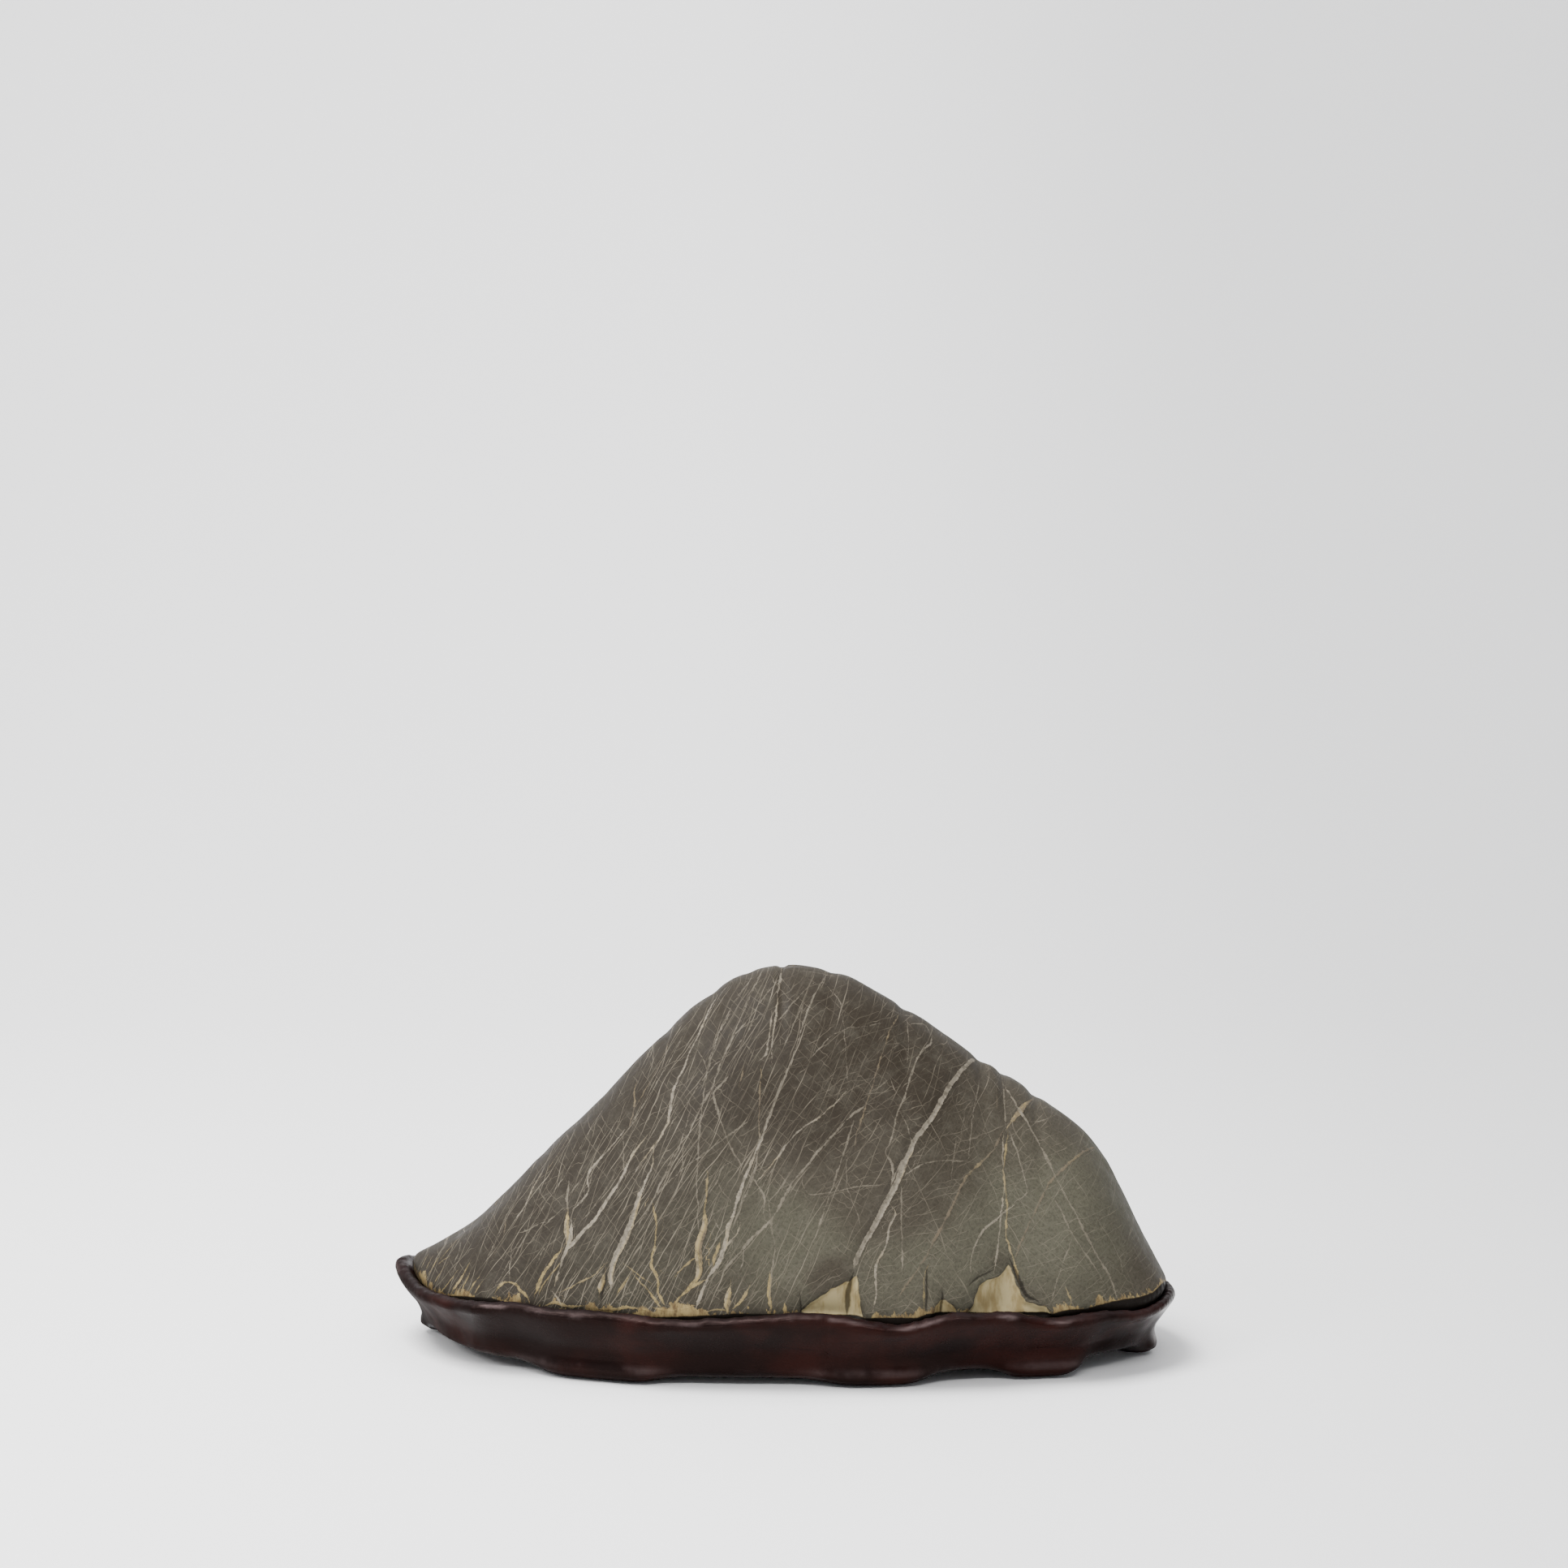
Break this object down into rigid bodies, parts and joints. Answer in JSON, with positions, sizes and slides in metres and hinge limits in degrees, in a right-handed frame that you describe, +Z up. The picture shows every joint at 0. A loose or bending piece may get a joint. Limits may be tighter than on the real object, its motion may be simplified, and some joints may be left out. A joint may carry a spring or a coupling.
{
  "type": "scholars rock",
  "caption": "Mountain-shaped grey-brown veined viewing stone resting in the shallow pocket of a low carved dark hardwood stand with a wavy rim and short toes.",
  "frame": {"origin": "on the table, under the middle of the stand", "axes": "+X along the length to the right tip as seen from the front, +Y to the back, +Z up"},
  "size_m": [0.317, 0.1604, 0.1545],
  "materials": {
    "stone": "smooth satin, oiled",
    "stand_wood": "polished dark lacquer"
  },
  "bodies": {
    "root": {"stone": "stone", "stand": "stand_wood"}
  },
  "joints": []
}
